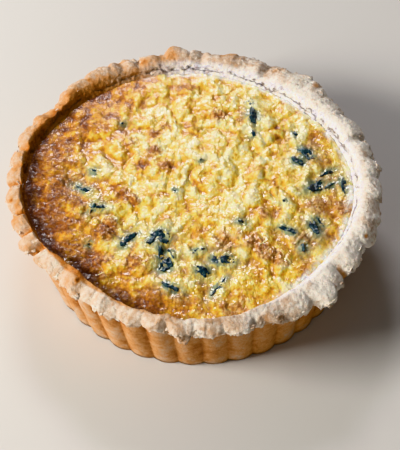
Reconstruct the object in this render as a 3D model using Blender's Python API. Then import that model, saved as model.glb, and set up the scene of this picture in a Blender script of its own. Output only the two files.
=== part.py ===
"""Baked quiche: a fluted shortcrust case, its set custard filling and the spinach on top.

Metres, +Z up.  The origin is the middle of the flat base that the quiche stands on,
and -Y is the front.
"""
import math

import bmesh
import bpy
from mathutils import Vector, noise
from mathutils.bvhtree import BVHTree

# Pastry case
FLUTES = 40
FLUTE_TURN = math.radians(1.5)
SEGMENTS = 240
BASE_RADIUS = 0.1065
WALL_TOP_RADIUS = 0.1150
WALL_TOP_HEIGHT = 0.0470
LIP_RADIUS = 0.1252
LIP_HEIGHT = 0.0520
CREST_RADIUS = 0.1160
CREST_HEIGHT = 0.0572
INNER_EDGE_RADIUS = 0.1087
INNER_EDGE_HEIGHT = 0.0506
THROAT_RADIUS = 0.1050
THROAT_HEIGHT = 0.0460
INNER_FOOT_RADIUS = 0.1010
FLOOR_THICKNESS = 0.0050
FLUTE_DEPTH = 0.0028
LIP_LOBE_DEPTH = 0.0040

# The whole case leans a little to the back and left: how far it has moved at LEAN_HEIGHT
LEAN = Vector((-0.0026, 0.0037))
LEAN_HEIGHT = 0.050

# How the lip and the edge of the well run out of round: waves round the case, and how
# much of each wave's cosine and sine they take
LIP_SWING = ((1, 0.0017, 0.0034), (2, 0.0012, -0.0022), (3, -0.0013, 0.0))
WELL_SWING = ((1, -0.0026, -0.0004), (2, 0.0018, -0.0016), (3, 0.0003, 0.0010), (4, 0.0016, 0.0))

# Where the lip's folds break its even lobes: bearing and half width in degrees, and how
# far the edge is torn or pinched in there, or hangs out in a tongue where it is negative
LIP_FOLDS = (
    (-157.0, 3.5, -0.0015),
    (-139.0, 3.0, 0.0030),
    (-129.0, 2.5, 0.0020),
    (-122.0, 3.0, -0.0010),
    (-93.0, 3.0, -0.0015),
    (-68.0, 3.0, 0.0045),
    (-58.0, 3.0, 0.0015),
    (-47.0, 4.0, -0.0030),
    (-37.5, 2.0, 0.0100),
    (-29.0, 3.0, 0.0030),
    (-16.0, 3.0, -0.0015),
    (18.0, 3.5, -0.0020),
    (27.0, 3.0, 0.0025),
    (35.0, 3.0, 0.0025),
    (48.0, 4.0, -0.0030),
    (66.0, 3.0, 0.0015),
    (79.0, 3.0, 0.0045),
    (96.0, 4.0, -0.0030),
    (121.0, 7.0, -0.0020),
    (143.0, 4.0, 0.0040),
    (164.0, 6.0, -0.0015),
)

# Custard filling
CLEARANCE = 0.0003
FILLING_SEGMENTS = 80
FILLING_HEIGHT = 0.0512
FILLING_EDGE_DROP = 0.0012
FILLING_WAVE = 0.0008

# Spinach: middle x, middle y, length, width, thickness, bearing in degrees
SPINACH = (
    (-0.0243, -0.0392, 0.0128, 0.0085, 0.0024, -51.0),
    (-0.0208, -0.0620, 0.0108, 0.0080, 0.0024, 61.0),
    (-0.0478, -0.0424, 0.0098, 0.0052, 0.0020, 69.0),
    (0.0033, -0.0680, 0.0086, 0.0068, 0.0022, -41.0),
    (0.0158, -0.0590, 0.0136, 0.0068, 0.0022, -8.0),
    (-0.0768, 0.0016, 0.0130, 0.0040, 0.0016, -37.0),
    (0.0406, 0.0660, 0.0155, 0.0060, 0.0018, -84.0),
    (0.0760, 0.0305, 0.0120, 0.0072, 0.0024, -50.0),
    (0.0696, 0.0236, 0.0092, 0.0052, 0.0020, -51.0),
    (0.0796, 0.0014, 0.0122, 0.0064, 0.0020, 40.0),
    (0.0998, 0.0014, 0.0120, 0.0050, 0.0018, -85.0),
    (0.0600, -0.0360, 0.0110, 0.0046, 0.0018, -30.0),
    (0.0772, -0.0339, 0.0125, 0.0052, 0.0018, -78.0),
    (-0.0175, -0.0798, 0.0115, 0.0042, 0.0016, -25.0),
)


def clear_scene():
    for old in list(bpy.data.objects):
        bpy.data.objects.remove(old, do_unlink=True)


def make_material(name, colour, roughness):
    material = bpy.data.materials.new(name)
    material.use_nodes = True
    shader = material.node_tree.nodes["Principled BSDF"]
    shader.inputs["Base Color"].default_value = (*colour, 1.0)
    shader.inputs["Roughness"].default_value = roughness
    shader.inputs["Metallic"].default_value = 0.0
    material.diffuse_color = (*colour, 1.0)
    return material


def add_object(name, bm, material):
    mesh = bpy.data.meshes.new(name)
    bm.to_mesh(mesh)
    bm.free()
    mesh.shade_smooth()
    mesh.set_sharp_from_angle(angle=math.radians(60.0))
    mesh.materials.append(material)
    piece = bpy.data.objects.new(name, mesh)
    bpy.context.scene.collection.objects.link(piece)
    return piece


def spin_profile(points, segments):
    """Turn (radius, height) points, axis to axis, into a closed round body."""
    bm = bmesh.new()
    verts = [bm.verts.new((radius, 0.0, height)) for radius, height in points]
    edges = [bm.edges.new(pair) for pair in zip(verts, verts[1:])]
    bmesh.ops.spin(
        bm,
        geom=verts + edges,
        cent=(0.0, 0.0, 0.0),
        axis=(0.0, 0.0, 1.0),
        angle=2.0 * math.pi,
        steps=segments,
        use_merge=True,
    )
    bmesh.ops.remove_doubles(bm, verts=bm.verts, dist=0.00001)
    bmesh.ops.recalc_face_normals(bm, faces=bm.faces)
    return bm


def around(angle, frequency, seed):
    """Smooth noise, about -1 to 1, that closes on itself round the case."""
    place = Vector((math.cos(angle) * frequency, math.sin(angle) * frequency, seed))
    return 1.6 * noise.noise(place)


def bulge(angle):
    """1 on the middle of a flute, falling to 0 in the groove beside it."""
    across = ((angle - FLUTE_TURN) * FLUTES / (2.0 * math.pi)) % 1.0
    return 1.0 - (2.0 * across - 1.0) ** 2


def fold_depth(angle):
    depth = 0.0
    for bearing, half_width, cut in LIP_FOLDS:
        away = (math.degrees(angle) - bearing + 180.0) % 360.0 - 180.0
        depth += cut * math.exp(-((away / half_width) ** 2))
    return depth


def swing(angle, waves):
    """How far an edge stands out from its mean circle where it runs out of round."""
    return sum(c * math.cos(n * angle) + s * math.sin(n * angle) for n, c, s in waves)


def lip_reach(angle):
    """How far the lip stands out from its mean circle at this bearing."""
    slipped = angle + 0.03 * around(angle, 2.5, 11.0)
    lobes = LIP_LOBE_DEPTH * (0.8 + 0.4 * around(angle, 3.1, 4.0)) * (bulge(slipped) - 0.65)
    return swing(angle, LIP_SWING) + lobes + 0.0008 * around(angle, 7.0, 9.0) - fold_depth(angle)


def lean_at(height):
    return LEAN * (height / LEAN_HEIGHT)


def make_crust(material):
    """Profile rings: radius, height, share of the flutes, of the lip's shape, of the well's."""
    rings = (
        (BASE_RADIUS - 0.0030, 0.0000, 0.50, 0.00, 0.00),
        (BASE_RADIUS, 0.0015, 0.75, 0.00, 0.00),
        (WALL_TOP_RADIUS - 0.0004, WALL_TOP_HEIGHT - 0.0030, 1.00, 0.10, 0.00),
        (WALL_TOP_RADIUS + 0.0020, WALL_TOP_HEIGHT + 0.0006, 0.60, 0.30, 0.00),
        (LIP_RADIUS - 0.0030, LIP_HEIGHT - 0.0026, 0.00, 0.80, 0.00),
        (LIP_RADIUS, LIP_HEIGHT - 0.0006, 0.00, 1.00, 0.00),
        (LIP_RADIUS - 0.0010, LIP_HEIGHT + 0.0020, 0.00, 0.92, 0.00),
        (0.5 * (LIP_RADIUS + CREST_RADIUS), CREST_HEIGHT - 0.0010, 0.00, 0.65, 0.25),
        (CREST_RADIUS, CREST_HEIGHT, 0.00, 0.40, 0.55),
        (CREST_RADIUS - 0.0034, CREST_HEIGHT - 0.0010, 0.00, 0.16, 0.85),
        (INNER_EDGE_RADIUS + 0.0016, INNER_EDGE_HEIGHT + 0.0026, 0.00, 0.03, 1.00),
        (INNER_EDGE_RADIUS, INNER_EDGE_HEIGHT, 0.00, 0.00, 1.00),
        (THROAT_RADIUS, THROAT_HEIGHT, 0.00, 0.00, 0.50),
        (INNER_FOOT_RADIUS, FLOOR_THICKNESS, 0.00, 0.00, 0.00),
    )
    profile = [(0.0, 0.0)] + [ring[:2] for ring in rings] + [(0.0, FLOOR_THICKNESS)]
    bm = spin_profile(profile, SEGMENTS)
    shares = {(round(ring[0], 6), round(ring[1], 6)): ring[2:] for ring in rings}
    for vert in bm.verts:
        radius, height = math.hypot(vert.co.x, vert.co.y), vert.co.z
        if radius < 0.001:
            vert.co.xy += lean_at(height)
            continue
        flute, lip, well = shares[(round(radius, 6), round(height, 6))]
        angle = math.atan2(vert.co.y, vert.co.x)
        radius += flute * FLUTE_DEPTH * (bulge(angle) - 0.6)
        radius += lip * lip_reach(angle) + well * swing(angle, WELL_SWING)
        sag = 0.0014 * around(angle, 5.0, 2.0) + 0.0008 * around(angle, 13.0, 6.0)
        rise = lip * sag + lip * (1.0 - lip) * 0.0040 * around(angle, 9.0, 1.0)
        vert.co = Vector((radius * math.cos(angle), radius * math.sin(angle), height + rise))
        vert.co.xy += lean_at(height)
    return add_object("crust", bm, material)


def filling_level(x, y):
    wave = noise.noise(Vector((x * 55.0, y * 55.0, 3.0)))
    ripple = noise.noise(Vector((x * 130.0, y * 130.0, 7.0)))
    return FILLING_HEIGHT + FILLING_WAVE * (wave + 0.6 * ripple)


def make_filling(material):
    """The set custard: it fills the well to its edge and is a little uneven on top."""
    shoulder = FILLING_HEIGHT - FILLING_EDGE_DROP - 0.0008
    up = (shoulder - THROAT_HEIGHT) / (INNER_EDGE_HEIGHT - THROAT_HEIGHT)
    brim = THROAT_RADIUS + up * (INNER_EDGE_RADIUS - THROAT_RADIUS) - 2.0 * CLEARANCE
    side = (
        (INNER_FOOT_RADIUS - CLEARANCE, FLOOR_THICKNESS + CLEARANCE, 0.0),
        (THROAT_RADIUS - 2.0 * CLEARANCE, THROAT_HEIGHT, 0.5),
        (brim, shoulder, 0.5 + 0.5 * up),
    )
    profile = [(0.0, FLOOR_THICKNESS + CLEARANCE)] + [ring[:2] for ring in side]
    for share in (0.985, 0.94, 0.84, 0.70, 0.55, 0.40, 0.25, 0.12):
        profile.append((brim * share, FILLING_HEIGHT))
    profile.append((0.0, FILLING_HEIGHT))
    bm = spin_profile(profile, FILLING_SEGMENTS)
    well_shares = {round(height, 6): well for radius, height, well in side}
    for vert in bm.verts:
        radius, height = math.hypot(vert.co.x, vert.co.y), vert.co.z
        angle = math.atan2(vert.co.y, vert.co.x)
        out = radius / brim
        on_top = height > shoulder + 0.0001
        well = out**4 * side[-1][2] if on_top else out * well_shares[round(height, 6)]
        radius += well * swing(angle, WELL_SWING)
        vert.co.x = radius * math.cos(angle)
        vert.co.y = radius * math.sin(angle)
        vert.co.xy += lean_at(height)
        if on_top:
            vert.co.z = filling_level(vert.co.x, vert.co.y) - FILLING_EDGE_DROP * out**16
    return add_object("filling", bm, material)


def make_spinach(number, shape, filling_tree, material):
    """A crumpled scrap of leaf whose underside follows the filling below it."""
    x, y, length, width, thickness, bearing = shape
    bm = bmesh.new()
    bmesh.ops.create_icosphere(bm, subdivisions=2, radius=0.5)
    turn = math.radians(bearing)
    for vert in bm.verts:
        ragged = 1.0 + 0.30 * noise.noise(vert.co * 3.0 + Vector((0.0, 0.0, 5.0 * number)))
        along = vert.co.x * length * ragged
        across = vert.co.y * width * ragged
        above = (vert.co.z + 0.5) * thickness * (0.8 + 0.2 * ragged)
        place_x = x + along * math.cos(turn) - across * math.sin(turn)
        place_y = y + along * math.sin(turn) + across * math.cos(turn)
        hit = filling_tree.ray_cast(Vector((place_x, place_y, 0.1)), Vector((0.0, 0.0, -1.0)))
        vert.co = Vector((place_x, place_y, hit[0].z + CLEARANCE + 0.0001 + above))
    return add_object(f"spinach_{number:02d}", bm, material)


clear_scene()
pastry = make_material("pastry", (0.62, 0.42, 0.22), 0.80)
custard = make_material("custard", (0.80, 0.52, 0.10), 0.45)
make_crust(pastry)
filling = make_filling(custard)
tree = BVHTree.FromObject(filling, bpy.context.evaluated_depsgraph_get())
for index, scrap in enumerate(SPINACH, start=1):
    leaf = make_material(f"spinach_{index:02d}", (0.05, 0.10, 0.04), 0.40)
    make_spinach(index, scrap, tree, leaf)
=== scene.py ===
"""A baked spinach and cheese quiche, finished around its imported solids."""
import math
import random

import bmesh
import bpy
import numpy as np
from mathutils import Matrix, Vector, noise
from mathutils.bvhtree import BVHTree


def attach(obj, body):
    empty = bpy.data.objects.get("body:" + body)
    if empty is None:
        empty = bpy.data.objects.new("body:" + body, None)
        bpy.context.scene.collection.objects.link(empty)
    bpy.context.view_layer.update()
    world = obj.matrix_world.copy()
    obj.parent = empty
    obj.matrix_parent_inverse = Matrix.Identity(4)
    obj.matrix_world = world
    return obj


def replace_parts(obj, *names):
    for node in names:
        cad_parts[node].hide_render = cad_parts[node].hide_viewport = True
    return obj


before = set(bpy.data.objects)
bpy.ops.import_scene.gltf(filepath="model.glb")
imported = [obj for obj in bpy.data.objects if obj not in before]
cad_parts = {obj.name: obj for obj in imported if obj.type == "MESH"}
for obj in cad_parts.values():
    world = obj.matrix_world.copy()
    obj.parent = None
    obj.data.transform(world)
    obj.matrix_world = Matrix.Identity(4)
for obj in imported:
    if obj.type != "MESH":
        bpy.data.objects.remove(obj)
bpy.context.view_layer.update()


# ---- Viewpoint -------------------------------------------------------------------
# The quiche stands on a table and is looked down on from the front, from about 0.86 m
# away, with a lens long enough to keep its circles nearly true.
LOOK_AT = Vector((0.0018, 0.0086, 0.0))
LOOK_DOWN = math.radians(52.785)
LOOK_DISTANCE = 0.8588
LOOK_ROLL = math.radians(-0.88)
LENS = 96.0
SENSOR = 36.0

viewer_data = bpy.data.cameras.new("viewer")
viewer_data.lens = LENS
viewer_data.sensor_width = SENSOR
viewer_data.clip_start = 0.05
viewer_data.clip_end = 20.0
viewer = bpy.data.objects.new("viewer", viewer_data)
bpy.context.scene.collection.objects.link(viewer)
bpy.context.scene.camera = viewer
back = Vector((0.0, -math.cos(LOOK_DOWN), math.sin(LOOK_DOWN)))
tilt = Matrix.Rotation(math.pi / 2.0 - LOOK_DOWN, 4, "X") @ Matrix.Rotation(LOOK_ROLL, 4, "Z")
viewer.matrix_world = Matrix.Translation(LOOK_AT + back * LOOK_DISTANCE) @ tilt


# ---- Shortcrust case -------------------------------------------------------------
# The case is rolled shortcrust pressed into a deep fluted tin and baked until it
# stands by itself.  The dough that hung over the tin's edge has set as a thick,
# ragged lip with a tongue over each flute and floury folds between them.
FLUTES = 40
FLUTE_TURN = math.radians(1.5)
SEGMENTS = 1000
BASE_RADIUS = 0.1065
WALL_TOP_RADIUS = 0.1150
WALL_TOP_HEIGHT = 0.0470
LIP_RADIUS = 0.1252
LIP_HEIGHT = 0.0520
CREST_RADIUS = 0.1160
CREST_HEIGHT = 0.0572
INNER_EDGE_RADIUS = 0.1087
INNER_EDGE_HEIGHT = 0.0506
THROAT_RADIUS = 0.1050
THROAT_HEIGHT = 0.0460
INNER_FOOT_RADIUS = 0.1010
FLOOR_THICKNESS = 0.0050
FLUTE_DEPTH = 0.0028
LIP_LOBE_DEPTH = 0.0040
LEAN = Vector((-0.0026, 0.0037))
LEAN_HEIGHT = 0.050
# Waves by which the lip and the edge of the well run out of round: number of waves round
# the case, and how much of each one's cosine and sine they take
LIP_SWING = ((1, 0.0017, 0.0034), (2, 0.0012, -0.0022), (3, -0.0013, 0.0))
WELL_SWING = ((1, -0.0026, -0.0004), (2, 0.0018, -0.0016), (3, 0.0003, 0.0010), (4, 0.0016, 0.0))
# Folds that break the lip's even lobes: bearing and half width in degrees, and how far the
# edge is drawn in there, or hangs out where the number is negative
LIP_FOLDS = (
    (-157.0, 3.5, -0.0015),
    (-139.0, 3.0, 0.0030),
    (-129.0, 2.5, 0.0020),
    (-122.0, 3.0, -0.0010),
    (-93.0, 3.0, -0.0015),
    (-68.0, 3.0, 0.0045),
    (-58.0, 3.0, 0.0015),
    (-47.0, 4.0, -0.0030),
    (-38.4, 2.6, 0.0052),
    (-29.0, 3.0, 0.0030),
    (-16.0, 3.0, -0.0015),
    (18.0, 3.5, -0.0020),
    (27.0, 3.0, 0.0025),
    (35.0, 3.0, 0.0025),
    (48.0, 4.0, -0.0030),
    (66.0, 3.0, 0.0015),
    (79.0, 3.0, 0.0045),
    (96.0, 4.0, -0.0030),
    (121.0, 7.0, -0.0020),
    (143.0, 4.0, 0.0040),
    (164.0, 6.0, -0.0015),
)
# Where the lip's crest lies further out than its mean circle, given in the same way
CREST_SHIFTS = (
    (178.0, 14.0, -0.0026),
    (146.0, 7.0, -0.0040),
    (124.0, 12.0, 0.0045),
    (85.0, 25.0, 0.0022),
    (0.0, 30.0, 0.0010),
    (-136.0, 20.0, -0.0066),
    (-100.0, 18.0, -0.0030),
    (-58.0, 26.0, -0.0022),
)
# Creases that run down across the lip: bearing and half width in degrees, and depth
LIP_CREASES = (
    (164.7, 1.3, 0.0044),
    (172.0, 1.2, 0.0008),
    (179.3, 1.3, 0.0050),
    (-167.7, 1.2, 0.0048),
    (-159.4, 1.2, 0.0046),
    (-151.5, 1.2, 0.0036),
    (-138.5, 1.5, 0.0014),
    (148.0, 1.6, 0.0018),
    (140.0, 1.8, 0.0020),
    (115.0, 1.6, 0.0020),
    (109.0, 1.4, 0.0018),
    (101.0, 1.6, 0.0014),
    (86.0, 1.2, 0.0014),
    (62.0, 1.2, 0.0014),
    (17.0, 1.2, 0.0016),
)
CREASE_DEPTH = 0.0011
CREASE_WIDTH = 0.08
TONGUE_DROP = 0.0030
DENT_DEPTH = 0.00045
MEAL_DEPTH = 0.00032
SEAM_DEPTH = 0.0004
CRUMB_DEPTH = 0.0007
CRACK_DEPTH = 0.0014
CRACK_WIDTH = 0.00055
CRACK_OFF_EDGE = 0.0014


def around(angle, frequency, seed):
    """Smooth noise, about -1 to 1, that closes on itself round the case."""
    place = Vector((math.cos(angle) * frequency, math.sin(angle) * frequency, seed))
    return 1.6 * noise.noise(place)


def across_flute(angle):
    """0 in one groove of the tin, 1 in the next."""
    return ((angle - FLUTE_TURN) * FLUTES / (2.0 * math.pi)) % 1.0


def bulge(angle):
    """1 on the middle of a flute, falling to 0 in the groove beside it."""
    return 1.0 - (2.0 * across_flute(angle) - 1.0) ** 2


def swing(angle, waves):
    """How far an edge stands out from its mean circle where it runs out of round."""
    return sum(c * math.cos(n * angle) + s * math.sin(n * angle) for n, c, s in waves)


def slipped(angle):
    """The lip's folds don't sit evenly over the tin's flutes."""
    return angle + 0.03 * around(angle, 2.5, 11.0)


def lip_reach(angle):
    """How far the lip stands out from its mean circle at this bearing."""
    lobes = LIP_LOBE_DEPTH * (0.8 + 0.4 * around(angle, 3.1, 4.0)) * (bulge(slipped(angle)) - 0.65)
    folds = summed(angle, LIP_FOLDS) + 0.5 * summed(angle, LIP_CREASES)
    return swing(angle, LIP_SWING) + lobes + 0.0008 * around(angle, 7.0, 9.0) - folds


def summed(angle, rows):
    """Add up smooth steps, each given by its bearing, half width and height."""
    total = 0.0
    for bearing, half_width, step in rows:
        away = (math.degrees(angle) - bearing + 180.0) % 360.0 - 180.0
        total += step * math.exp(-((away / half_width) ** 2))
    return total


def tongues(angle):
    """0 under the smooth arches of the lip's edge, 1 at the points that hang between them."""
    return max(0.0, 1.0 - 1.9 * abs(around(angle, 6.4, 21.0)))


def lean_at(height):
    return LEAN * (height / LEAN_HEIGHT)


def smooth_run(stations):
    """Pass a smooth curve through rows of values; the last number of each row is its steps."""
    table = np.array(stations)
    padded = np.vstack([table[0], table, table[-1]])
    rows = []
    for k, station in enumerate(table[:-1]):
        before, start, end, after = padded[k : k + 4, :-1]
        steps = int(station[-1])
        for t in np.arange(steps) / steps:
            pull = (end - before) * t + (2 * before - 5 * start + 4 * end - after) * t * t
            rows.append(start + 0.5 * (pull + (3 * start - before - 3 * end + after) * t**3))
    rows.append(table[-1, :-1])
    return np.array(rows)


# radius, height, share of the flutes, of the lip's shape, of the well's, of the crest's
# shift, steps to the next
case_rows = smooth_run(
    (
        (BASE_RADIUS - 0.0030, 0.0000, 0.50, 0.00, 0.00, 0.0, 2),
        (BASE_RADIUS - 0.0003, 0.0008, 0.72, 0.00, 0.00, 0.0, 2),
        (BASE_RADIUS + 0.0004, 0.0036, 0.80, 0.00, 0.00, 0.0, 22),
        (WALL_TOP_RADIUS - 0.0004, WALL_TOP_HEIGHT - 0.0030, 1.00, 0.10, 0.00, 0.0, 4),
        (WALL_TOP_RADIUS + 0.0014, WALL_TOP_HEIGHT + 0.0010, 0.60, 0.35, 0.00, 0.0, 6),
        (LIP_RADIUS - 0.0030, LIP_HEIGHT - 0.0022, 0.00, 0.85, 0.00, 0.0, 4),
        (LIP_RADIUS - 0.0006, LIP_HEIGHT - 0.0022, 0.00, 1.00, 0.00, 0.0, 1),
        (LIP_RADIUS - 0.0002, LIP_HEIGHT - 0.0018, 0.00, 1.00, 0.00, 0.0, 4),
        (LIP_RADIUS, LIP_HEIGHT, 0.00, 0.98, 0.00, 0.0, 4),
        (LIP_RADIUS - 0.0012, LIP_HEIGHT + 0.0022, 0.00, 0.90, 0.00, 0.1, 7),
        (0.5 * (LIP_RADIUS + CREST_RADIUS), CREST_HEIGHT - 0.0010, 0.00, 0.65, 0.25, 0.5, 7),
        (CREST_RADIUS, CREST_HEIGHT, 0.00, 0.40, 0.55, 1.0, 6),
        (CREST_RADIUS - 0.0034, CREST_HEIGHT - 0.0010, 0.00, 0.16, 0.85, 0.45, 7),
        (INNER_EDGE_RADIUS + 0.0016, INNER_EDGE_HEIGHT + 0.0026, 0.00, 0.03, 1.00, 0.1, 6),
        (INNER_EDGE_RADIUS, INNER_EDGE_HEIGHT, 0.00, 0.00, 1.00, 0.0, 4),
        (THROAT_RADIUS, THROAT_HEIGHT, 0.00, 0.00, 0.50, 0.0, 1),
    )
)

case = bmesh.new()
row_number = case.verts.layers.int.new("row")
run = [case.verts.new((0.0, 0.0, 0.0))]
run[0][row_number] = -1
for number, row in enumerate(case_rows):
    run.append(case.verts.new((row[0], 0.0, row[1])))
    run[-1][row_number] = number
for radius in (INNER_FOOT_RADIUS, 0.0):
    run.append(case.verts.new((radius, 0.0, FLOOR_THICKNESS)))
    run[-1][row_number] = -1
edges = [case.edges.new(pair) for pair in zip(run, run[1:])]
bmesh.ops.spin(
    case,
    geom=run + edges,
    cent=(0.0, 0.0, 0.0),
    axis=(0.0, 0.0, 1.0),
    angle=2.0 * math.pi,
    steps=SEGMENTS,
    use_merge=True,
)
bmesh.ops.remove_doubles(case, verts=case.verts, dist=0.00001)
bmesh.ops.recalc_face_normals(case, faces=case.faces)

known_bearings = {}


def at_bearing(angle):
    """What the lip and the wall do at this bearing, worked out once for each."""
    key = round(angle, 4)
    if key not in known_bearings:
        across = across_flute(slipped(angle))
        crease = CREASE_DEPTH * math.exp(-((min(across, 1.0 - across) / CREASE_WIDTH) ** 2))
        crease *= max(0.0, 0.4 + 0.9 * around(angle, 6.0, 8.0))
        crease *= min(1.0, max(0.25, 0.45 + 0.65 * math.cos(angle - 2.6)))
        known_bearings[key] = (
            bulge(angle),
            lip_reach(angle),
            swing(angle, WELL_SWING),
            summed(angle, CREST_SHIFTS),
            crease + summed(angle, LIP_CREASES),
            tongues(angle),
            0.0014 * around(angle, 5.0, 2.0) + 0.0008 * around(angle, 13.0, 6.0),
            around(angle, 9.0, 1.0),
        )
    return known_bearings[key]


# Press the round blank into the flutes, the lobes and the folds
for vert in case.verts:
    number = vert[row_number]
    if number < 0:
        vert.co.xy += lean_at(vert.co.z)
        continue
    radius, height, flute, lip, well, crest = case_rows[number]
    angle = math.atan2(vert.co.y, vert.co.x)
    column, reach, well_reach, crest_step, crease, tongue, sag, sway = at_bearing(angle)
    outer = max(0.0, lip) ** 3
    ragged = max(0.0, 1.0 - abs(height - LIP_HEIGHT + 0.0020) / 0.0016) * outer
    tear = noise.noise(Vector((math.cos(angle) * 40.0, math.sin(angle) * 40.0, height * 60.0)))
    nick = noise.noise(Vector((math.cos(angle) * 110.0, math.sin(angle) * 110.0, height * 40.0)))
    radius += flute * FLUTE_DEPTH * (column - 0.6) + lip * reach + well * well_reach
    radius += crest * crest_step + 0.0006 * outer * tear
    radius -= ragged * (0.0016 * abs(tear) + 0.0022 * max(0.0, nick))
    rise = lip * sag + lip * (1.0 - lip) * 0.0040 * sway
    rise -= outer * (TONGUE_DROP * tongue - 0.0010) + ragged * 0.0012 * nick
    rise -= 3.0 * lip * (1.0 - 0.62 * lip) * crease
    height_here = max(0.0, height + rise)
    vert.co = Vector((radius * math.cos(angle), radius * math.sin(angle), height_here))
    vert.co.xy += lean_at(height)


def crack_at(angle, off_edge):
    """1 in the thin crack where the filling has shrunk off the crust, behind and right."""
    open_here = 0.35 + 0.9 * math.cos(angle - 1.0) + 1.3 * around(angle, 16.0, 33.0)
    middle = CRACK_OFF_EDGE + 0.0010 * around(angle, 22.0, 36.0)
    middle += 0.0003 * around(angle, 70.0, 39.0)
    return min(1.0, max(0.0, open_here)) * math.exp(-(((off_edge - middle) / CRACK_WIDTH) ** 2))


# Fine relief of the dough: soft dents and a few cracks in the lip, faint drag lines on
# the wall, a mealy skin, and a crumbly surface where the well's edge has dried
case.normal_update()
relief = []
for vert in case.verts:
    number = vert[row_number]
    if number < 0:
        relief.append(0.0)
        continue
    lip, well = case_rows[number][3:5]
    spot = vert.co
    on_wall = max(0.0, 1.0 - 3.0 * lip - 3.0 * well)
    dents = noise.fractal(spot * 85.0, 0.9, 2.1, 3)
    meal = noise.fractal(spot * 480.0 + Vector((3.0, 8.0, 1.0)), 0.7, 2.0, 3)
    if on_wall > 0.0:
        drag = noise.noise(Vector((spot.x * 50.0, spot.y * 50.0, spot.z * 380.0)))
        relief.append(0.00026 * dents + on_wall * (0.00004 * drag + 0.00009 * meal))
        continue
    seam = max(0.0, 1.0 - 10.0 * abs(noise.noise(spot * 100.0 + Vector((7.0, 2.0, 4.0)))))
    seam *= max(0.0, 1.8 * noise.noise(spot * 55.0) - 0.1)
    crumb = max(0.0, well) ** 3 * noise.turbulence(spot * 420.0, 2, True)
    edge_gap = math.hypot(*(spot.xy - lean_at(spot.z))) - INNER_EDGE_RADIUS
    turn = math.atan2(spot.y, spot.x)
    crack = crack_at(turn, edge_gap - swing(turn, WELL_SWING))
    depth = DENT_DEPTH * dents + MEAL_DEPTH * meal - SEAM_DEPTH * seam
    relief.append(depth + CRUMB_DEPTH * crumb - CRACK_DEPTH * crack)
for vert, depth in zip(case.verts, relief):
    vert.co += vert.normal * depth
    vert.co.z = max(0.0, vert.co.z)


def set_down(name, made):
    """Make a shaped bmesh into a piece of this name, with its place in its mesh."""
    mesh = bpy.data.meshes.new(name)
    made.to_mesh(mesh)
    made.free()
    mesh.shade_smooth()
    piece = bpy.data.objects.new(name, mesh)
    bpy.context.scene.collection.objects.link(piece)
    return piece


pastry_case = set_down("pastry_case", case)
case_mesh = pastry_case.data


def new_finish(name):
    """An empty finish: its node tree and its main shader."""
    finish = bpy.data.materials.new(name)
    finish.use_nodes = True
    return finish, finish.node_tree, finish.node_tree.nodes["Principled BSDF"]


def grain(tree, scale, detail=4.0, roughness=0.55, distortion=0.0, stretch=None):
    """Noise in the piece's own space; scale is in features per metre."""
    place = tree.nodes.new("ShaderNodeTexCoord").outputs["Object"]
    if stretch:
        mapping = tree.nodes.new("ShaderNodeMapping")
        mapping.inputs["Scale"].default_value = stretch
        tree.links.new(place, mapping.inputs["Vector"])
        place = mapping.outputs["Vector"]
    texture = tree.nodes.new("ShaderNodeTexNoise")
    texture.inputs["Scale"].default_value = scale
    texture.inputs["Detail"].default_value = detail
    texture.inputs["Roughness"].default_value = roughness
    texture.inputs["Distortion"].default_value = distortion
    tree.links.new(place, texture.inputs["Vector"])
    return texture.outputs["Fac"]


def ramp(tree, amount, *stops):
    """Colours by amount: stops are (position, (r, g, b))."""
    node = tree.nodes.new("ShaderNodeValToRGB")
    tree.links.new(amount, node.inputs["Fac"])
    band = node.color_ramp
    while len(band.elements) < len(stops):
        band.elements.new(0.5)
    for element, (position, colour) in zip(band.elements, stops):
        element.position = position
        element.color = (*colour, 1.0)
    return node.outputs["Color"]


def between(tree, amount, low, high, to_low=0.0, to_high=1.0):
    """Smoothly carry amount from the range low..high to to_low..to_high."""
    node = tree.nodes.new("ShaderNodeMapRange")
    node.interpolation_type = "SMOOTHSTEP"
    tree.links.new(amount, node.inputs["Value"])
    for name, value in (
        ("From Min", low),
        ("From Max", high),
        ("To Min", to_low),
        ("To Max", to_high),
    ):
        node.inputs[name].default_value = value
    return node.outputs["Result"]


def sums(tree, action, first, second):
    """Add or multiply two amounts, either of them a plain number."""
    node = tree.nodes.new("ShaderNodeMath")
    node.operation = action
    for socket, value in zip(node.inputs, (first, second)):
        if isinstance(value, float):
            socket.default_value = value
        else:
            tree.links.new(value, socket)
    return node.outputs["Value"]


def blend_colours(tree, amount, under, over):
    """Lay one colour over another by amount; the upper may be a plain (r, g, b)."""
    node = tree.nodes.new("ShaderNodeMix")
    node.data_type = "RGBA"
    for number, value in ((0, amount), (6, under), (7, over)):
        if isinstance(value, tuple):
            node.inputs[number].default_value = (*value, 1.0)
        else:
            tree.links.new(value, node.inputs[number])
    return node.outputs[2]


def bumps(tree, height, distance, strength=1.0, under=None):
    """Relief that stands this many metres proud where height is 1, over any relief under it."""
    node = tree.nodes.new("ShaderNodeBump")
    node.inputs["Distance"].default_value = distance
    node.inputs["Strength"].default_value = strength
    tree.links.new(height, node.inputs["Height"])
    if under:
        tree.links.new(under, node.inputs["Normal"])
    return node.outputs["Normal"]


def measured(tree, name):
    """A number that was stored for each vertex under this name."""
    node = tree.nodes.new("ShaderNodeAttribute")
    node.attribute_name = name
    return node.outputs["Fac"]


def write_measure(mesh, name, values):
    """Store one number for each vertex, for the finish to read."""
    stored = mesh.attributes.new(name, "FLOAT", "POINT").data
    stored.foreach_set("value", np.asarray(values, np.float32))


def places(mesh):
    """Where every vertex of a mesh is, as rows of x, y and z."""
    co = np.zeros(len(mesh.vertices) * 3)
    mesh.vertices.foreach_get("co", co)
    return co.reshape(-1, 3)


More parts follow.
